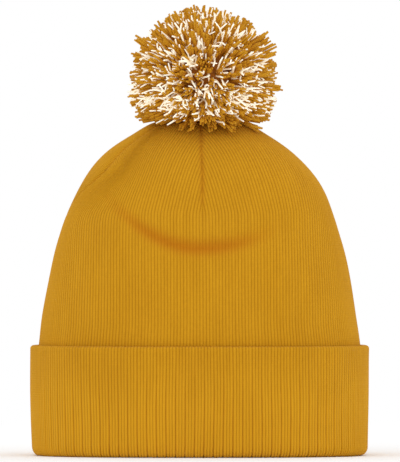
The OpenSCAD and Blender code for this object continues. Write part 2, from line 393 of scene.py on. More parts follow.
def floor_finish(name, plain, sky):
    """Matt floor near the hat, fading to the even light of the surroundings further off."""
    look = Finish(name, roughness=0.95, sheen=0.0, specular=0.0)
    x, y, _ = look.split(look.place())
    away = (x * x + y * y) ** 0.5
    material = look.finish(plain)
    glow = look.tree.nodes.new("ShaderNodeEmission")
    glow.inputs["Color"].default_value = (1.0, 1.0, 1.0, 1.0)
    glow.inputs["Strength"].default_value = sky
    mixed = look.tree.nodes.new("ShaderNodeMixShader")
    far = (away * 1.4 - 0.35).clamped()
    look.tree.links.new(far.socket, mixed.inputs[0])
    look.tree.links.new(look.shader.outputs[0], mixed.inputs[1])
    look.tree.links.new(glow.outputs[0], mixed.inputs[2])
    output = next(n for n in look.tree.nodes if n.type == "OUTPUT_MATERIAL")
    look.tree.links.new(mixed.outputs[0], output.inputs["Surface"])
    return material


# ---- the hat's form ----


def smooth(low, high, x):
    """An easy rise from 0 at low to 1 at high."""
    t = np.clip((x - low) / (high - low), 0.0, 1.0)
    return t * t * (3.0 - 2.0 * t)


def hump(x, middle, width):
    """A rounded rise to 1 at the middle."""
    return np.exp(-(((x - middle) / width) ** 2))


class Outline:
    """The hat's side outline from the rim to the crown, walked by its length."""

    def __init__(self):
        size = body_sizes()
        corners = np.array([
            (HALF_W, size.side_top),
            (HALF_W - size.side_lean, CROWN_Z - size.shoulder_drop),
            (size.crown_flat, CROWN_Z),
            (0.0, CROWN_Z),
        ])
        t = np.linspace(0.0, 1.0, 400)[:, None]
        weights = ((1 - t) ** 3, 3 * (1 - t) ** 2 * t, 3 * (1 - t) * t**2, t**3)
        curve = sum(w * c for w, c in zip(weights, corners))
        puff_width = 0.012
        curve[:, 1] += size.gather_puff * hump(curve[:, 0], size.puff_r, puff_width)
        self.points = np.vstack([[(HALF_W, RIM_Z)], curve])
        steps = np.hypot(*np.diff(self.points, axis=0).T)
        self.walk = np.concatenate([[0.0], np.cumsum(steps)])
        self.side = self.walk[1]
        self.total = self.walk[-1]

    def width(self, s):
        return np.interp(s, self.walk, self.points[:, 0])

    def height(self, s):
        return np.interp(s, self.walk, self.points[:, 1])

    def length_at(self, z):
        return np.interp(z, self.points[:, 1], self.walk)

    def at(self, s):
        """Half width, height and outward direction at length s from the rim."""
        reach = 0.002
        ahead = np.minimum(s + reach, self.total)
        behind = np.maximum(s - reach, 0.0)
        dw = self.width(ahead) - self.width(behind)
        dz = self.height(ahead) - self.height(behind)
        run = np.hypot(dw, dz)
        return self.width(s), self.height(s), dz / run, -dw / run

    def crown(self, x, y):
        """Height of the hat's outside above a point."""
        w = (np.abs(x) ** SQUARENESS + np.abs(y / OVAL_K) ** SQUARENESS) ** (1.0 / SQUARENESS)
        return np.interp(w, self.points[::-1, 0], self.points[::-1, 1])


def keep_sign(value, power):
    """The power of a value's magnitude, with the value's own sign."""
    return np.sign(value) * np.abs(value) ** power


def oval(angle):
    """Share of the half width and half depth at an angle round the squarish oval."""
    power = 2.0 / SQUARENESS
    return keep_sign(np.cos(angle), power), keep_sign(np.sin(angle), power)


def oval_facing(angle):
    """Level direction straight out of the oval, for a half width of one."""
    power = 2.0 - 2.0 / SQUARENESS
    return keep_sign(np.cos(angle), power), keep_sign(np.sin(angle), power) / OVAL_K


def oval_walk():
    """Lists that give the oval's angle for a share of the walk round it, and its girth."""
    angle = np.linspace(0.0, 2.0 * math.pi, 14401)
    x, y = oval(angle)
    steps = np.hypot(np.diff(x), OVAL_K * np.diff(y))
    walk = np.concatenate([[0.0], np.cumsum(steps)])
    return walk / walk[-1], angle, walk[-1]


OVAL_SHARE, OVAL_ANGLE, OVAL_GIRTH = oval_walk()


def turned(share):
    """Angle at a share of the way round the oval, from +X by way of the back."""
    whole = np.floor(share)
    return np.interp(share - whole, OVAL_SHARE, OVAL_ANGLE) + 2.0 * math.pi * whole


def hat_surface(s, share, outline):
    """Points and outward directions on the smooth hat at length s and share round the oval."""
    w, z, out_w, out_z = outline.at(s)
    a = turned(share)
    across, deep = oval(a)
    face_x, face_y = oval_facing(a)
    points = np.stack([w * across, OVAL_K * w * deep, z + 0.0 * a], axis=-1)
    normals = np.stack([out_w * face_x, out_w * face_y, out_z + 0.0 * a], axis=-1)
    return points, normals / np.linalg.norm(normals, axis=-1, keepdims=True)


def fold_line(x):
    """How far the front fold has risen at x from the middle, and its strength there."""
    return np.where(x < 0.0, 8.8, 4.6) * x**2, np.exp(-(((x + 0.007) / 0.045) ** 4))


def front_fold(points):
    """The soft fold that sags across the front, from 0 to 1."""
    size = body_sizes()
    x, y, z = points[..., 0], points[..., 1], points[..., 2]
    rise, reach = fold_line(x)
    return smooth(0.0, -0.02, y) * reach * hump(z, size.fold_z + rise, size.fold_width)


def crease(points, middle, height, curve, width, reach):
    """A soft crease from side to side, from 0 to 1, that curves up from its middle."""
    x, z = points[..., 0], points[..., 2]
    return hump(z, height + curve * x**2, width) * np.exp(-(((x - middle) / reach) ** 4))


def soft_folds(points):
    """How far the worn knit sinks at each point: a soft fold across the front, and slack elsewhere."""
    size = body_sizes()
    x, y, z = points[..., 0], points[..., 1], points[..., 2]
    front = smooth(0.0, -0.02, y)
    back = 1.0 - front
    rise, reach = fold_line(x)
    ledge_lift, ledge_width, ledge_share = 0.014, 0.011, 0.3
    ledge = front * reach * hump(z, size.fold_z + rise + ledge_lift, ledge_width)
    fold = (front_fold(points) - ledge * ledge_share) * size.fold_depth
    dimple = front * hump(x, 0.004, 0.005) * hump(z, 0.158, 0.006) * size.dimple
    low = crease(points, middle=0.01, height=0.121, curve=5.0, width=0.009, reach=0.06) * size.low_crease
    high = crease(points, middle=-0.02, height=0.163, curve=-3.0, width=0.012, reach=0.05) * size.high_crease
    sides = hump(z, 0.146 + 0.35 * y, 0.008) * smooth(0.055, 0.085, np.abs(x)) * size.side_dent
    shoulder = smooth(0.03, 0.062, x) * hump(z, 0.176, 0.018) * size.shoulder_full
    slack = size.slack * np.sin(x * 71.0 + z * 33.0) * np.sin(z * 58.0 + y * 41.0)
    above_cuff = smooth(CUFF_HIGH.z - 0.001, CUFF_HIGH.z + 0.022, z)
    return (fold + dimple + back * (low + high) + sides + slack - shoulder) * above_cuff


class Gores:
    """How the knit's wales lie between the darts, row by row."""

    def __init__(self, stations, outline, turn, per_wale):
        size = body_sizes()
        wales = size.gore_wales
        place = np.arange(wales * per_wale) / per_wale
        quarter = outline.width(stations) * OVAL_GIRTH / 4.0
        begins = outline.length_at(size.side_dart_z)
        forks = outline.length_at(size.front_dart_z)
        pitch = outline.width(begins) * OVAL_GIRTH / 4.0 / wales
        lost = np.where(stations > begins, wales - quarter / pitch, 0.0)
        at_fork = wales - outline.width(forks) * OVAL_GIRTH / 4.0 / pitch
        ends_in_middle = 0.36
        middle_lost = np.maximum(lost - at_fork, 0.0) * ends_in_middle
        side_lost = lost - middle_lost
        shares, edges, held = [], [], []
        for gore in range(4):
            ends = (side_lost, middle_lost) if gore % 2 == 0 else (middle_lost, side_lost)
            start, stop = (e[:, None] for e in ends)
            local = (place[None, :] - start) / (wales - start - stop)
            held.append((local <= 0.0) | (local >= 1.0))
            local = np.clip(local, 0.0, 1.0)
            shares.append((gore + local) / 4.0)
            side_edge = local if gore % 2 == 0 else 1.0 - local
            edges.append(np.stack([side_edge, 1.0 - side_edge]) * quarter[:, None])
        share = np.concatenate(shares, axis=1)
        edge = np.concatenate(edges, axis=2)
        held = np.concatenate(held, axis=1)
        wale = np.concatenate([place + wales * gore for gore in range(4)] + [[4.0 * wales]])
        self.share = np.concatenate([share, share[:, :1] + 1.0], axis=1) + turn
        self.held = np.concatenate([held, held[:, :1]], axis=1)
        self.side_edge, self.middle_edge = np.concatenate([edge, edge[:, :, :1]], axis=2)
        self.wale = np.broadcast_to(wale, self.share.shape)
        # The furrows deepen over the first 2 or 3 cm of each dart.
        self.side_dart = smooth(begins, begins + 0.03, stations)[:, None]
        self.middle_dart = smooth(forks - 0.006, forks + 0.02, stations)[:, None]

    def seams(self, width):
        """Depth of the darts' furrows, from 0 to 1."""
        side = np.exp(-((self.side_edge / width) ** 2)) * self.side_dart * 0.7
        middle = np.exp(-((self.middle_edge / width) ** 2)) * self.middle_dart
        return np.maximum(side, middle)


def lean_left_dart(share, stations, outline):
    """The left dart leans to the front as it climbs the crown."""
    climb = smooth(outline.length_at(0.150), outline.length_at(0.190), stations)[:, None]
    return share + 0.085 * climb * np.exp(-(((share % 1.0 - 0.5) / 0.10) ** 2))


# ---- mesh helpers ----


def clear_selection():
    """Leave edit mode and pick nothing, ready for the next operator."""
    if bpy.context.object and bpy.context.object.mode != "OBJECT":
        bpy.ops.object.mode_set(mode="OBJECT")
    bpy.ops.object.select_all(action="DESELECT")


def finish_piece(piece, material, body, replaced=()):
    """Material, slot, body and the plain solids that the piece stands for."""
    piece.data.materials.clear()
    piece.data.materials.append(material)
    for face in piece.data.polygons:
        face.material_index = 0
    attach(piece, body)
    if replaced:
        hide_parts(*replaced)


def piece_from(name, vertices, faces, uv=None, painted_shading=None):
    """A mesh piece from rows of points and faces, with its knit map and its painted shading if it has them.
    """
    mesh = bpy.data.meshes.new(name)
    mesh.vertices.add(len(vertices))
    mesh.vertices.foreach_set("co", np.asarray(vertices, np.float32).ravel())
    faces = np.asarray(faces, np.int32)
    corners = faces.shape[1]
    mesh.loops.add(faces.size)
    mesh.loops.foreach_set("vertex_index", faces.ravel())
    mesh.polygons.add(len(faces))
    mesh.polygons.foreach_set("loop_start", np.arange(len(faces), dtype=np.int32) * corners)
    mesh.polygons.foreach_set("use_smooth", np.full(len(faces), True))
    mesh.update(calc_edges=True)
    if uv is not None:
        layer = mesh.uv_layers.new(name="knit")
        layer.data.foreach_set("uv", np.asarray(uv, np.float32)[faces.ravel()].ravel())
    if painted_shading is not None:
        # Painted light and shade: the fold's painted shade, and the cuff's painted light towards the hem.
        shade = mesh.attributes.new("painted_shading", "FLOAT_COLOR", "POINT")
        values = np.ones((len(vertices), 4), np.float32)
        values[:, :2] = painted_shading
        shade.data.foreach_set("color", values.ravel())
    piece = bpy.data.objects.new(name, mesh)
    bpy.context.scene.collection.objects.link(piece)
    return piece


def quads(near, far):
    """Four-cornered faces between two sets of rows of points."""
    corners = [near[:, :-1], near[:, 1:], far[:, 1:], far[:, :-1]]
    return np.stack(corners, axis=-1).reshape(-1, 4)


def close_up(piece, gap=2e-6):
    """Join points that lie on each other, drop what collapsed, and face everything outwards."""
    form = bmesh.new()
    form.from_mesh(piece.data)
    bmesh.ops.remove_doubles(form, verts=form.verts, dist=gap)
    bmesh.ops.dissolve_degenerate(form, edges=form.edges, dist=gap)
    bmesh.ops.recalc_face_normals(form, faces=form.faces)
    form.to_mesh(piece.data)
    form.free()
    piece.data.update()
    return piece


def tube_grid(name, points, u, v, fold, low):
    """Closed skin over rows that come back to the first and columns that go once round."""
    rows, columns = points.shape[:2]
    index = np.arange(rows * columns).reshape(rows, columns)
    faces = quads(index, np.roll(index, -1, axis=0))
    uv = np.stack([u, v], axis=-1).reshape(-1, 2)
    # The fold and low masks carry painted shade and painted light for the knit's colour.
    painted_shading = np.stack([fold, low], axis=-1).reshape(-1, 2)
    return close_up(piece_from(name, points.reshape(-1, 3), faces, uv, painted_shading))


# ---- knitted body ----


def gather_pleats(points):
    """Little pleats where the crown is gathered, from 0 to 1."""
    reach = np.hypot(points[..., 0], points[..., 1])
    turn = np.arctan2(points[..., 1], points[..., 0])
    pleats = 16.0
    return (0.5 + 0.5 * np.cos(turn * pleats)) * smooth(0.022, 0.008, reach)


def knit_skin(name, outline, depth_out, depth_in, turn, shown_out, per_wale=4, rows=76, backing_rows=40):
    """One knit of the double body, ribbed on the face that shows and plain on its back.

    Its two faces lie depth_out and depth_in under the hat's outside. Its first wale is at turn, a
    share of the way round."""
    size = body_sizes()
    top = outline.total - size.gather_hole
    side_rows = 8
    fine = np.concatenate([
        np.linspace(0.0, outline.side, side_rows, endpoint=False),
        np.linspace(outline.side, top, rows - side_rows),
    ])
    coarse = np.concatenate([[0.0, outline.side], np.linspace(outline.side, top, backing_rows)[1:]])
    skins = []
    for stations, depth, shown in (
        (fine if shown_out else coarse, depth_out, shown_out),
        (coarse if shown_out else fine, depth_in, not shown_out),
    ):
        gores = Gores(stations, outline, turn, per_wale)
        share = lean_left_dart(gores.share, stations, outline)
        points, normals = hat_surface(stations[:, None], share, outline)
        # The fold's strength is kept on the mesh as a mask of painted shade for the knit's colour.
        fold = front_fold(points)
        sink = soft_folds(points) + depth
        if shown:
            phase = np.abs(gores.wale % 1.0 - 0.5) * 2.0
            furrow = np.where(gores.held, 1.0, phase**2) * size.wale_relief
            from_back = (gores.share - turn - BACK_MIDDLE) * outline.width(stations)[:, None] * OVAL_GIRTH
            back_seam = hump(from_back, 0.0, size.dart_width) * (1.0 - gores.middle_dart)
            darts = gores.seams(size.dart_width)
            seams = (darts + back_seam * 0.6) * size.dart_depth
            relief = furrow + seams + gather_pleats(points) * size.pleat
            sink = sink + (relief if shown_out else -relief)
            # The darts' furrows get painted shade too, at about a third of the fold's strength.
            fold = np.maximum(fold, darts * 0.35)
        points = points - normals * sink[..., None]
        course = np.broadcast_to(stations[:, None] / size.course, share.shape)
        skins.append((points, gores.wale, course, fold))
    points, wales, courses, fold = (np.concatenate([a, b[::-1]]) for a, b in zip(*skins))
    return tube_grid(name, points, wales, courses, fold, np.ones_like(wales))


def hat_girth():
    """The way round the body at its widest."""
    return HALF_W * OVAL_GIRTH


class BEANIE_OT_outer_knit(Operator):
    """Knit the body's outer layer, with its darts and soft folds"""

    bl_idname = "beanie.outer_knit"
    bl_label = "Outer knit"

    def execute(self, context):
        size = body_sizes()
        outline = Outline()
        piece = knit_skin("outer_knit", outline, 0.0, size.outer_t, turn=0.004, shown_out=True)
        finish_piece(piece, knit_finish("outer_knit"), "hat_body", ["outer_shell"])
        return {"FINISHED"}


class BEANIE_OT_lining_knit(Operator):
    """Knit the body's inner layer, whose right side faces the head"""

    bl_idname = "beanie.lining_knit"
    bl_label = "Lining"

    def execute(self, context):
        size = body_sizes()
        outline = Outline()
        depth = size.outer_t + size.layer_gap
        inner = depth + size.lining_t
        piece = knit_skin("lining_knit", outline, depth, inner, turn=0.125, shown_out=False, rows=60)
        # The lining is the same yarn painted 8% darker: painted shade for the inside of the hat.
        yarn = knit_finish("lining_knit", shade=0.92)
        finish_piece(piece, yarn, "hat_body", ["lining_shell"])
        # It is knitted a little smaller than the outer knit that it lies in.
        return {"FINISHED"}


# ---- turned-up cuff ----


def rounded(centre_out, centre_z, radius, start, stop, steps):
    """Points and outward directions on an arc of the cuff's section, angles in degrees."""
    a = np.radians(np.linspace(start, stop, steps))
    points = np.stack([centre_out + radius * np.cos(a), centre_z + radius * np.sin(a)], axis=1)
    return points, np.stack([np.cos(a), np.sin(a)], axis=1)


def straight(start, stop, out, steps):
    """Points along a flat stretch of the cuff's section, which faces the way out points."""
    t = np.linspace(0.0, 1.0, steps + 2)[1:-1, None]
    points = np.array(start) * (1 - t) + np.array(stop) * t
    return points, np.broadcast_to(np.array(out, float), points.shape)


def cuff_section():
    """The cuff's section from the hem's inner edge round to where it began, and its relief."""
    size = cuff_sizes()
    body = body_sizes()
    inner = -(body.outer_t + body.layer_gap + body.lining_t)
    outer = CUFF_OUT
    wall = outer - size.knit_t
    bore = size.clearance
    top = CUFF_HIGH.z
    t = size.knit_t
    # Each stretch ends with the strength of the knit's relief on it.
    stretches = [
        (*rounded(inner + size.hem_in_r, size.hem_in_r, size.hem_in_r, 180.0, 270.0, 5), 0.9),
        (*straight((inner + size.hem_in_r, 0.0), (outer - size.hem_r, 0.0), (0.0, -1.0), 3), 1.5),
        (*rounded(outer - size.hem_r, size.hem_r, size.hem_r, 270.0, 360.0, 9), 1.6),
        (*straight((outer, size.hem_r), (outer, top - size.top_r), (1.0, 0.0), 26), 1.0),
        (*rounded(outer - size.top_r, top - size.top_r, size.top_r, 0.0, 90.0, 6), 0.8),
        (*straight((outer - size.top_r, top), (bore, top), (0.0, 1.0), 2), 0.5),
        (*straight((bore, top), (bore, top - t), (-1.0, 0.0), 2), 0.0),
        (*straight((wall, top - t), (wall, t), (-1.0, 0.0), 3), 0.0),
        (*straight((wall, t), (inner, t), (0.0, 1.0), 2), 0.0),
    ]
    points = np.concatenate([p for p, _, _ in stretches])
    normals = np.concatenate([n for _, n, _ in stretches])
    relief = np.concatenate([np.full(len(p), strength) for p, _, strength in stretches])
    return points, normals, relief


def rib_columns(ribs):
    """Share of the way round, wale and depths of the furrows and channels at each column."""
    across = np.array([0.0, 0.06, 0.13, 0.21, 0.29, 0.35, 0.41, 0.5, 0.59, 0.65, 0.71, 0.79, 0.87, 0.94])
    wale = np.interp(across, [0.0, 0.35, 0.65, 1.0], [0.0, 1.0, 2.0, 3.0])
    furrow = (np.abs(wale % 1.0 - 0.5) * 2.0) ** 2
    channel = np.interp(across, [0.0, 0.06, 0.13, 0.87, 0.94, 1.0], [1.0, 0.5, 0.05, 0.05, 0.5, 1.0])
    share = np.concatenate([(across + r) / ribs for r in range(ribs)] + [[1.0]])
    wales = np.concatenate([wale + 3 * r for r in range(ribs)] + [[3.0 * ribs]])
    furrows = np.append(np.tile(furrow, ribs), furrow[0])
    channels = np.append(np.tile(channel, ribs), channel[0])
    return share, wales, furrows, channels


def beside_oval(share, out, z):
    """Points that stand out level from the body's oval."""
    a = turned(share)
    across, deep = oval(a)
    facing = np.stack(oval_facing(a), axis=-1)
    facing = facing / np.linalg.norm(facing, axis=-1, keepdims=True)
    x = HALF_W * across + facing[..., 0] * out
    y = HALF_D * deep + facing[..., 1] * out
    return np.stack([x, y, z + 0.0 * a], axis=-1)


def cuff_slack(share, z):
    """How the cuff's outside draws in to the hem and wavers round the hat."""
    size = cuff_sizes()
    turn = share * 2.0 * math.pi
    low = 1.0 - smooth(0.0, 0.6 * CUFF_HIGH.z, z)
    waver = 0.0004 * np.sin(turn * 3.0 + z * 60.0) + 0.00025 * np.sin(turn * 7.0 - z * 90.0 + 1.3)
    return low * size.draw_in * (1.0 - 0.45 * np.cos(turn + 0.4)) + waver


class BEANIE_OT_cuff(Operator):
    """Fold the ribbed band up round the body"""

    bl_idname = "beanie.cuff"
    bl_label = "Cuff"

    def execute(self, context):
        size = cuff_sizes()
        section, facing, relief = cuff_section()
        share, wales, furrow, channel = rib_columns(size.ribs)
        share, out, z = share[None, :], section[:, :1], section[:, 1:]
        turn = share * 2.0 * math.pi
        shown = relief[:, None]
        # The ribs sway a little to the side as they climb, by a share of the way round.
        sway = 0.0006 * np.sin(z * 60.0 + turn * 5.0) + 0.0003 * np.sin(z * 110.0 - turn * 11.0)
        open_ribs = 0.35 + 0.65 * (1.0 - smooth(0.35 * CUFF_HIGH.z, CUFF_HIGH.z, z))
        sink = np.maximum(furrow * size.furrow, channel * size.channel * open_ribs) * shown
        seam = hump((share - BACK_MIDDLE) * hat_girth(), 0.0, size.seam) * size.seam * shown
        slack = cuff_slack(share, z) * np.minimum(shown, 1.0) * np.clip(facing[:, :1], 0.0, 1.0)
        level = out - facing[:, :1] * (sink + seam) - slack
        height = z - facing[:, 1:] * (sink + seam)
        points = beside_oval(share + sway * shown * 0.5, level, height)
        steps = np.hypot(*np.diff(section, axis=0).T)
        walk = np.concatenate([[0.0], np.cumsum(steps)])[:, None] / body_sizes().course
        plain = np.zeros(points.shape[:2])
        # open_ribs also goes into the mesh's shading mask, for the cuff's painted light and shade towards
        # the hem.
        piece = tube_grid("cuff_knit", points, wales + plain, walk + plain, plain, open_ribs + plain)
        finish_piece(piece, knit_finish("cuff_knit", rib=3), "cuff", ["cuff_outer_layer"])
        return {"FINISHED"}


# ---- pom-pom ----


def model_strand(sides=5, joints=4):
    """One cut yarn, a unit long and a unit thick, built up ring by ring from a small disc."""
    clear_selection()
    bpy.ops.mesh.primitive_circle_add(vertices=sides, radius=1.0, fill_type="NGON")
    strand = bpy.context.object
    strand.name = "strand"
    bpy.ops.object.mode_set(mode="EDIT")
    bpy.ops.mesh.select_all(action="SELECT")
    for _ in range(joints):
        move = {"value": (0.0, 0.0, 1.0 / joints)}
        bpy.ops.mesh.extrude_region_move(TRANSFORM_OT_translate=move)
    bpy.ops.transform.resize(value=(0.75, 0.75, 1.0))
    bpy.ops.mesh.select_all(action="SELECT")
    bpy.ops.mesh.quads_convert_to_tris()
    bpy.ops.mesh.normals_make_consistent(inside=False)
    bpy.ops.object.mode_set(mode="OBJECT")
    mesh = strand.data
    points = np.array([v.co for v in mesh.vertices])
    faces = np.array([list(p.vertices) for p in mesh.polygons])
    bpy.data.objects.remove(strand)
    return points, faces


def bent_copies(strand, starts, ends, bends, radii, curl, rng):
    """Copies of the strand along curves from starts to ends, swung out by bends and a little wavy."""
    points, faces = strand
    t = points[:, 2][None, :, None]
    start, end, bend = starts[:, None, :], ends[:, None, :], bends[:, None, :]
    centre = start * (1 - t) ** 2 + 2 * (1 - t) * t * ((start + end) / 2 + bend) + end * t**2
    heading = (end - start) / np.linalg.norm(end - start, axis=-1, keepdims=True)
    aside = np.cross(heading, [0.31, 0.52, 0.79])
    aside = aside / np.linalg.norm(aside, axis=-1, keepdims=True)
    over = np.cross(heading, aside)
    wave = rng.uniform(0.0, 2.0 * math.pi, (2, len(starts), 1, 1))
    turns = rng.uniform(3.0, 7.0, (len(starts), 1, 1))
    centre = centre + curl * t * (np.sin(turns * t + wave[0]) * aside + np.cos(turns * t + wave[1]) * over)
    at = centre + radii[:, None, None] * (points[None, :, 0, None] * aside + points[None, :, 1, None] * over)
    shift = (np.arange(len(starts)) * len(points))[:, None, None]
    return at, (faces[None] + shift).reshape(-1, 3)


def scattered(count, rng, jitter):
    """Directions spread evenly over a ball, then shaken."""
    i = np.arange(count) + 0.5
    rise = 1.0 - 2.0 * i / count
    turn = i * math.pi * (3.0 - math.sqrt(5.0))
    flat = np.sqrt(1.0 - rise**2)
    way = np.stack([flat * np.cos(turn), flat * np.sin(turn), rise], axis=1)
    way = way + rng.normal(0.0, jitter, way.shape)
    return way / np.linalg.norm(way, axis=1, keepdims=True)


def raised(way, cut, middle, outline, lift=0.0015):
    """Directions turned up from the crown, so that the lowest yarns end just above it."""
    steps = np.radians(np.linspace(-90.0, 0.0, 61))
    turn = np.arctan2(way[:, 1], way[:, 0])[:, None]
    rise = np.arcsin(np.clip(way[:, 2], -1.0, 1.0))
    flat = np.cos(steps) * cut[:, None]
    x = middle[0] + flat * np.cos(turn)
    y = middle[1] + flat * np.sin(turn)
    z = middle[2] + np.sin(steps) * cut[:, None]
    under = z < outline.crown(x, y) + lift
    last = under.shape[1] - np.argmax(under[:, ::-1], axis=1)
    lowest = steps[np.minimum(last, len(steps) - 1)]
    # Yarns that point down by more than this are turned up, the lowest the most.
    bend = math.radians(-12.0)
    share = (rise - bend) / (-math.pi / 2 - bend)
    turned_up = np.where(rise < bend, bend + (lowest - bend) * np.maximum(share, 0.0) ** 0.8, rise)
    flat = np.cos(turned_up)
    return np.stack([flat * np.cos(turn[:, 0]), flat * np.sin(turn[:, 0]), np.sin(turned_up)], axis=1)


def keep_off_crown(points, outline, clearance):
    """Yarn that would run into the crown lies along it instead."""
    floor = outline.crown(points[..., 0], points[..., 1]) + clearance
    points[..., 2] = np.maximum(points[..., 2], floor)
    return points


def yarn_piece(name, at, faces, along, chance):
    """Many yarns as one piece, which keeps the place along each yarn and a chance value for it."""
    piece = piece_from(name, at.reshape(-1, 3), faces)
    shade = piece.data.attributes.new("yarn", "FLOAT_COLOR", "POINT")
    count, per = at.shape[:2]
    values = np.ones((count, per, 4), np.float32)
    values[..., 0] = along[None, :]
    values[..., 1] = chance[:, None]
    shade.data.foreach_set("color", values.ravel())
    return piece


class BEANIE_OT_pompom(Operator):
    """Fan out the pom-pom's mustard and cream yarns from its bound middle"""

    bl_idname = "beanie.pompom"
    bl_label = "Pom-pom"

    def execute(self, context):
        size = pompom_sizes()
        outline = Outline()
        strand = model_strand()
        middle = np.array([0.0, 0.0, POM_Z]) + np.array(size.lean)
        self.mustard(size, outline, strand, middle)
        self.cream(size, outline, strand, middle)
        self.core(size, middle)
        return {"FINISHED"}

    def mustard(self, size, outline, strand, middle):
        tone = colours()
        rng = np.random.default_rng(SEED)
        root = scattered(size.yarns, rng, 0.05)
        cut = rng.uniform(0.90, 1.0, size.yarns) * size.reach
        tip = raised(root, cut, middle, outline)
        lean = rng.normal(0.0, 0.09, tip.shape)
        chance = np.repeat(rng.uniform(0.0, 1.0, size.yarns), size.plies)
        root, tip, lean = (np.repeat(v, size.plies, axis=0) for v in (root, tip, lean))
        cut = np.repeat(cut, size.plies) * rng.uniform(0.95, 1.0, len(tip))
        fray = rng.normal(0.0, size.fray, tip.shape)
        bound = size.core_r * 0.62
        starts = middle + (root * 0.5 + tip * 0.5) * bound + fray * 0.3
        ends = middle + (tip + lean * 0.5) * cut[:, None] + fray
        bends = (root - tip) * size.reach * 0.15 + lean * size.reach * 0.14 + fray * 0.2
        thick = rng.uniform(0.85, 1.15, len(tip)) * size.ply_r
        at, faces = bent_copies(strand, starts, ends, bends, thick, 0.0007, rng)
        at = keep_off_crown(at, outline, 0.0008)
        piece = yarn_piece("pompom_mustard_strands", at, faces, strand[0][:, 2], chance)
        shades = (tone.pompom_yarn, tone.pompom_root_shade, tone.pompom_light)
        # A faint glow of painted fill light.
        yarn = yarn_finish("pompom_mustard", *shades, glow=0.03)
        finish_piece(piece, yarn, "pompom", ["pompom_mustard_yarn"])

    def cream(self, size, outline, strand, middle):
        tone = colours()
        rng = np.random.default_rng(SEED + 1)
        root = scattered(size.cream_yarns, rng, 0.12)
        cut = rng.uniform(0.86, 1.0, size.cream_yarns) * size.reach
        tip = raised(root, cut, middle, outline, 0.0008)
        cut = cut * (1.0 + 0.05 * smooth(0.15, -0.5, root[:, 2]))
        lean = rng.normal(0.0, 0.15, tip.shape)
        way = tip + lean
        way = raised(way / np.linalg.norm(way, axis=1, keepdims=True), cut, middle, outline, 0.0008)
        starts = middle + tip * size.reach * rng.uniform(0.42, 0.74, (len(tip), 1))
        ends = middle + way * cut[:, None]
        bends = rng.normal(0.0, 0.0022, tip.shape)
        thick = rng.uniform(0.8, 1.3, len(tip)) * size.cream_r
        at, faces = bent_copies(strand, starts, ends, bends, thick, 0.0012, rng)
        at = keep_off_crown(at, outline, 0.0024)
        chance = rng.uniform(0.0, 1.0, len(tip))
        piece = yarn_piece("pompom_cream_strands", at, faces, strand[0][:, 2], chance)
        # Painted shade at the cream yarns' roots.
        cream_root_shade = [c * share for c, share in zip(tone.cream, (0.85, 0.72, 0.50))]
        bright = [min(c * 1.05, 1.0) for c in tone.cream]
        # A stronger glow of painted fill light keeps the cream pale in the pom-pom's shade.
        yarn = yarn_finish("pompom_cream", tone.cream, cream_root_shade, bright, glow=0.22)
        finish_piece(piece, yarn, "pompom", ["pompom_white_yarn"])

    def core(self, size, middle):
        tone = colours()
        clear_selection()
        bpy.ops.mesh.primitive_ico_sphere_add(subdivisions=6, radius=size.core_r, location=tuple(middle))
        core = bpy.context.object
        core.name = "pompom_core"
        bpy.ops.object.transform_apply(location=True, rotation=True, scale=True)
        spots = np.array([v.co for v in core.data.vertices])
        lumps = np.sin(spots[:, 0] * 900) * np.sin(spots[:, 1] * 870) * np.sin(spots[:, 2] * 930)
        lump_size = 0.0014
        spots = spots + (spots - middle) / size.core_r * lump_size * lumps[:, None]
        # Its underside is a shallow cone, so that it clears the crown when the pom-pom tilts.
        slope = 0.3 * np.hypot(spots[:, 0], spots[:, 1])
        spots[:, 2] = np.maximum(spots[:, 2], POM_LOW.z + slope)
        core.data.vertices.foreach_set("co", spots.astype(np.float32).ravel())
        core.data.update()
        bpy.ops.object.shade_smooth()
        # The packed core is painted in the pom-pom's root shade.
        deep = [c * 0.8 for c in tone.pompom_root_shade]
        finish_piece(core, thread_finish("pompom_root_shade", tone.pompom_root_shade, deep), "pompom")


# ---- carried-over parts ----


class BEANIE_OT_threads(Operator):
    """Give the seams, gathers and tie the look of twisted yarn"""

    bl_idname = "beanie.threads"
    bl_label = "Seams and threads"

    def execute(self, context):
        tone = colours()
        yarn = thread_finish("seam_yarn", tone.yarn, tone.yarn_painted_shade)
        ribbon = ribbon_finish("label_ribbon", tone.ribbon)
        for name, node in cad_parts.items():
            node.data.materials.clear()
            node.data.materials.append(ribbon if "label" in name else yarn)
        return {"FINISHED"}


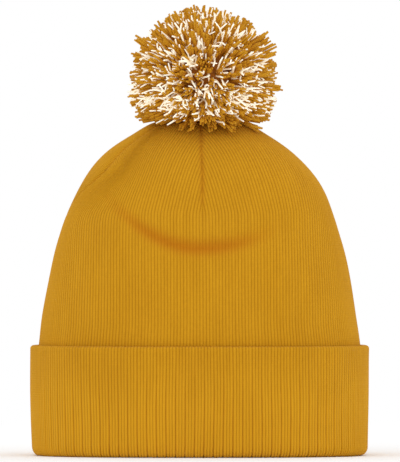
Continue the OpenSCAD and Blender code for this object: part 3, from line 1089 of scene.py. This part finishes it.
class BEANIE_OT_care_label(Operator):
    """Fold a blank ribbon in two and hang it inside the back of the lining"""

    bl_idname = "beanie.care_label"
    bl_label = "Care label"

    def execute(self, context):
        size = context.scene.beanie_label
        half_wide = (LABEL_HIGH.x - LABEL_LOW.x) / 2
        middle = (LABEL_LOW.y + LABEL_HIGH.y) / 2
        gap = (LABEL_HIGH.y - LABEL_LOW.y) / 2 - size.ribbon_t / 2
        top = LABEL_HIGH.z - gap - size.ribbon_t
        turns = np.radians(np.linspace(0.0, 180.0, 9))
        drop = np.linspace(LABEL_LOW.z, top, 25)[:-1]
        y = np.concatenate([gap + 0 * drop, gap * np.cos(turns), -gap + 0 * drop])
        z = np.concatenate([drop, top + gap * np.sin(turns), drop[::-1]])
        face_y = np.concatenate([1.0 + 0 * drop, np.cos(turns), -1.0 + 0 * drop])
        face_z = np.concatenate([0 * drop, np.sin(turns), 0 * drop])
        x = np.linspace(-half_wide, half_wide, 13)
        low = smooth(top, LABEL_LOW.z, z)
        wave = low[:, None] * size.curl * np.sin(x * 150.0)[None, :] * 0.5
        spread = 1.0 + low[:, None] * 0.15
        grids = []
        for side in (0.5, -0.5):
            grid_y = middle + y[:, None] * spread + face_y[:, None] * side * size.ribbon_t + wave
            grid_z = (z + face_z * side * size.ribbon_t)[:, None] + 0 * x[None, :]
            grids.append(np.stack([x[None, :] + 0 * grid_y, grid_y, grid_z], axis=-1))
        rows, columns = grids[0].shape[:2]
        index = np.arange(2 * rows * columns).reshape(2, rows, columns)
        faces = [quads(layer[:-1], layer[1:]) for layer in index]
        rim = np.concatenate([index[0][0, :-1], index[0][:-1, -1], index[0][-1, :0:-1], index[0][:0:-1, 0]])
        back = rim + rows * columns
        faces.append(np.stack([rim, np.roll(rim, -1), np.roll(back, -1), back], axis=-1))
        vertices = np.concatenate([g.reshape(-1, 3) for g in grids])
        piece = close_up(piece_from("care_label_ribbon", vertices, np.concatenate(faces)))
        ribbon = ribbon_finish("label_fabric", colours().ribbon)
        finish_piece(piece, ribbon, "label", ["care_label"])
        return {"FINISHED"}


class BEANIE_OT_anchor(Operator):
    """Knot the pom-pom's tie inside the crown"""

    bl_idname = "beanie.anchor"
    bl_label = "Anchor knot"

    def execute(self, context):
        size = context.scene.beanie_label
        spot = (KNOT_LOW + KNOT_HIGH) / 2
        wide = (KNOT_HIGH.x - KNOT_LOW.x) / 2
        thick = wide * 0.36
        t = np.linspace(0.0, 1.0, 49)
        turn = 2.0 * math.pi * t
        ring = wide - thick
        lobe = ring * 0.279
        loop = np.stack([
            lobe * (np.sin(turn) + 2.0 * np.sin(2.0 * turn)),
            lobe * (np.cos(turn) - 2.0 * np.cos(2.0 * turn)),
            -(KNOT_HIGH.z - KNOT_LOW.z) / 2 * 0.45 * np.sin(3.0 * turn),
        ], axis=1) + spot
        tails = []
        for side in (-1.0, 1.0):
            out = np.linspace(0.0, 1.0, 10)
            tails.append(np.stack([
                spot.x + side * (ring * 0.3 + size.tail * 0.30 * out),
                spot.y + side * size.tail * 0.28 * out**2,
                spot.z - size.tail * out * (0.4 + 0.6 * out),
            ], axis=1))
        clear_selection()
        curve = bpy.data.curves.new("anchor_knot", "CURVE")
        curve.dimensions = "3D"
        curve.bevel_depth = thick * 0.62
        curve.bevel_resolution = 3
        curve.use_fill_caps = True
        for path, closed in ((loop[:-1], True), (tails[0], False), (tails[1], False)):
            line = curve.splines.new("POLY")
            line.points.add(len(path) - 1)
            line.points.foreach_set("co", np.column_stack([path, np.ones(len(path))]).ravel())
            line.use_cyclic_u = closed
        piece = bpy.data.objects.new("anchor_knot", curve)
        bpy.context.scene.collection.objects.link(piece)
        piece.select_set(True)
        bpy.context.view_layer.objects.active = piece
        bpy.ops.object.convert(target="MESH")
        piece = bpy.context.object
        bpy.ops.object.shade_smooth()
        tone = colours()
        yarn = thread_finish("tie_yarn", tone.yarn, tone.yarn_painted_shade)
        finish_piece(piece, yarn, "hat_body", ["pompom_anchor_knot"])
        return {"FINISHED"}


# ---- stage ----


class BEANIE_OT_stage(Operator):
    """Set out the floor, the soft light and the camera"""

    bl_idname = "beanie.stage"
    bl_label = "Stage"

    def execute(self, context):
        scene = context.scene
        size = scene.beanie_stage
        tone = colours()
        clear_selection()
        bpy.ops.mesh.primitive_circle_add(vertices=96, radius=size.floor_r, fill_type="NGON")
        floor = context.object
        floor.name = "floor"
        floor.data.materials.append(floor_finish("floor", tone.floor, size.sky))

        camera = bpy.data.cameras.new("camera")
        camera.lens = camera.sensor_width * size.distance / size.frame_height
        camera.clip_end = 200.0
        holder = bpy.data.objects.new("camera", camera)
        holder.location = (size.camera_x, -size.distance, size.camera_z)
        holder.rotation_euler = (math.pi / 2, 0.0, 0.0)
        scene.collection.objects.link(holder)
        scene.camera = holder

        self.lamp(scene, "key", (-0.9, -2.3, 1.9), 2.2, size.key)
        self.lamp(scene, "fill", (1.9, -1.7, 0.8), 2.0, size.fill)
        self.lamp(scene, "back", (0.3, 2.2, 1.8), 2.0, size.fill)

        world = bpy.data.worlds.new("surroundings")
        world.use_nodes = True
        sky = world.node_tree.nodes["Background"]
        sky.inputs["Color"].default_value = (1.0, 1.0, 1.0, 1.0)
        sky.inputs["Strength"].default_value = size.sky
        scene.world = world
        scene.view_settings.view_transform = "Standard"
        return {"FINISHED"}

    def lamp(self, scene, name, place, side, power):
        light = bpy.data.lights.new(name, "AREA")
        light.size = side
        light.energy = power
        lamp = bpy.data.objects.new(name, light)
        lamp.location = place
        aim = Vector((0.0, 0.0, 0.15)) - lamp.location
        lamp.rotation_euler = aim.to_track_quat("-Z", "Y").to_euler()
        scene.collection.objects.link(lamp)


class BEANIE_PT_panel(Panel):
    bl_label = "Knit beanie"
    bl_idname = "BEANIE_PT_panel"
    bl_space_type = "VIEW_3D"
    bl_region_type = "UI"
    bl_category = "Beanie"

    def draw(self, context):
        for step in STEPS:
            self.layout.operator(step.bl_idname)


GROUPS = {
    "beanie_body": BodySizes,
    "beanie_cuff": CuffSizes,
    "beanie_pompom": PompomSizes,
    "beanie_label": LabelSizes,
    "beanie_colours": Colours,
    "beanie_stage": StageSizes,
}
STEPS = [
    BEANIE_OT_stage,
    BEANIE_OT_threads,
    BEANIE_OT_outer_knit,
    BEANIE_OT_lining_knit,
    BEANIE_OT_cuff,
    BEANIE_OT_pompom,
    BEANIE_OT_care_label,
    BEANIE_OT_anchor,
]


def register():
    for group in GROUPS.values():
        bpy.utils.register_class(group)
    for name, group in GROUPS.items():
        setattr(bpy.types.Scene, name, PointerProperty(type=group))
    for step in STEPS:
        bpy.utils.register_class(step)
    bpy.utils.register_class(BEANIE_PT_panel)


def unregister():
    bpy.utils.unregister_class(BEANIE_PT_panel)
    for step in reversed(STEPS):
        bpy.utils.unregister_class(step)
    for name, group in reversed(GROUPS.items()):
        delattr(bpy.types.Scene, name)
        bpy.utils.unregister_class(group)


def main():
    register()
    for step in STEPS:
        family, name = step.bl_idname.split(".")
        getattr(getattr(bpy.ops, family), name)()


if __name__ == "__main__":
    main()
